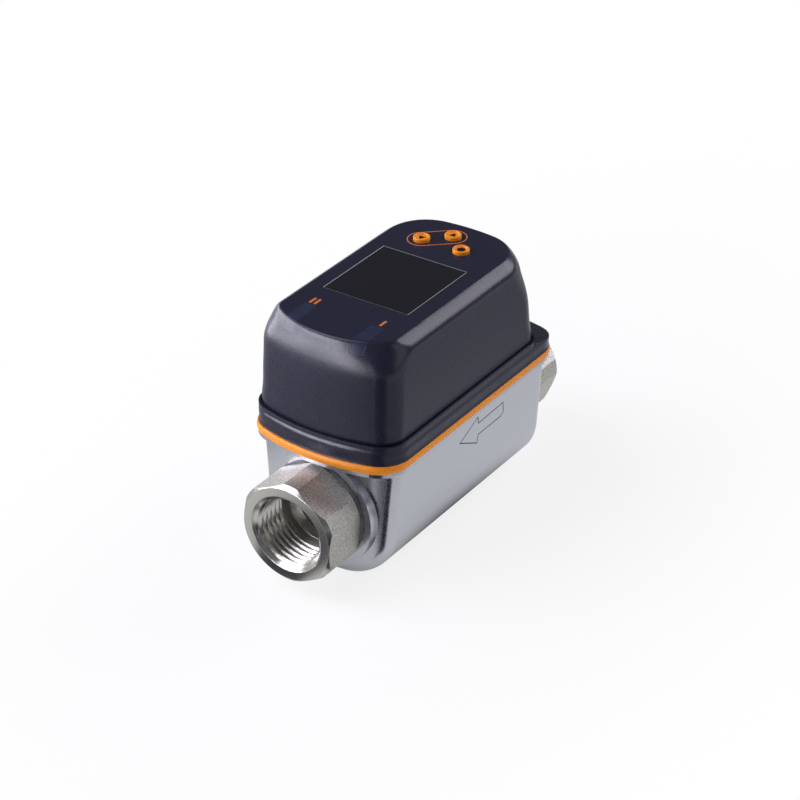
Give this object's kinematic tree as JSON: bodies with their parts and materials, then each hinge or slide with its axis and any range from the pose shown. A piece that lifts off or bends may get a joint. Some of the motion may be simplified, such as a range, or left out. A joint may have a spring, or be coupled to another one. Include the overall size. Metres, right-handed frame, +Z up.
{
  "type": "vortex flow meter",
  "caption": "Compact inline flow meter with hexagon pipe fittings, a steel trough housing, a bevelled display hood and an orange seal band between them.",
  "frame": {"origin": "middle of the footprint, on the flat bottom of the steel housing", "axes": "+Y along the pipe axis towards the inlet end, +Z up through the display, +X to the side that carries the arrow outline, on the right of the flow when it is seen from the outlet"},
  "size_m": [0.0456, 0.11, 0.0712],
  "materials": {
    "stainless_housing": "satin stainless sheet",
    "stainless_fitting": "machined stainless",
    "stainless_small": "plain stainless",
    "plated_brass": "nickel plated",
    "gold_contact": "gold plated",
    "hood_plastic": "semi-matt moulding",
    "tube_plastic": "glass-filled moulding",
    "orange_rubber": "satin",
    "black_rubber": "matt",
    "display_cover": "gloss",
    "led_window": "smoked gloss",
    "display_frame": "satin",
    "board": "solder resist",
    "black_plastic": "satin",
    "led_lens": "clear lens",
    "cable": "satin"
  },
  "bodies": {
    "meter": {"lower_housing": "stainless_housing", "outlet_fitting": "stainless_fitting", "inlet_fitting": "stainless_fitting", "outlet_wall_seal": "black_rubber", "inlet_wall_seal": "black_rubber", "outlet_o_ring": "black_rubber", "inlet_o_ring": "black_rubber", "measuring_tube": "tube_plastic", "bluff_body": "tube_plastic", "bluff_body_seal": "black_rubber", "vortex_sensor": "tube_plastic", "vortex_sensor_seal": "black_rubber", "temperature_probe": "stainless_small", "temperature_probe_seal": "black_rubber", "sensor_clamp": "stainless_small", "clamp_screws": "stainless_small", "sensor_lead": "cable", "probe_lead": "cable", "housing_seal": "orange_rubber", "hood": "hood_plastic", "display_window": "display_cover", "display_module": "display_frame", "display_board": "board", "main_board": "board", "board_spacers": "stainless_small", "board_screws": "stainless_small", "board_header": "black_plastic", "status_led_right": "led_lens", "status_led_left": "led_lens", "led_window_right": "led_window", "led_window_left": "led_window", "connector_shell": "plated_brass", "connector_insert": "black_plastic", "connector_seal": "black_rubber", "connector_nut": "plated_brass", "connector_lead": "cable", "connector_contact_1": "gold_contact", "connector_contact_2": "gold_contact", "connector_contact_3": "gold_contact", "connector_contact_4": "gold_contact", "switch_case_left": "stainless_small", "switch_case_middle": "stainless_small", "switch_case_right": "stainless_small"},
    "button_left": {"button_left": "orange_rubber", "switch_plunger_left": "black_plastic"},
    "button_middle": {"button_middle": "orange_rubber", "switch_plunger_middle": "black_plastic"},
    "button_right": {"button_right": "orange_rubber", "switch_plunger_right": "black_plastic"}
  },
  "joints": [
    {"name": "press_button_left", "type": "slide", "parent": "meter", "child": "button_left", "axis": [0, 0, -1], "range_m": [0, 0.0005], "stiffness_N_per_m": 2000},
    {"name": "press_button_middle", "type": "slide", "parent": "meter", "child": "button_middle", "axis": [0, 0, -1], "range_m": [0, 0.0005], "stiffness_N_per_m": 2000},
    {"name": "press_button_right", "type": "slide", "parent": "meter", "child": "button_right", "axis": [0, 0, -1], "range_m": [0, 0.0005], "stiffness_N_per_m": 2000}
  ]
}
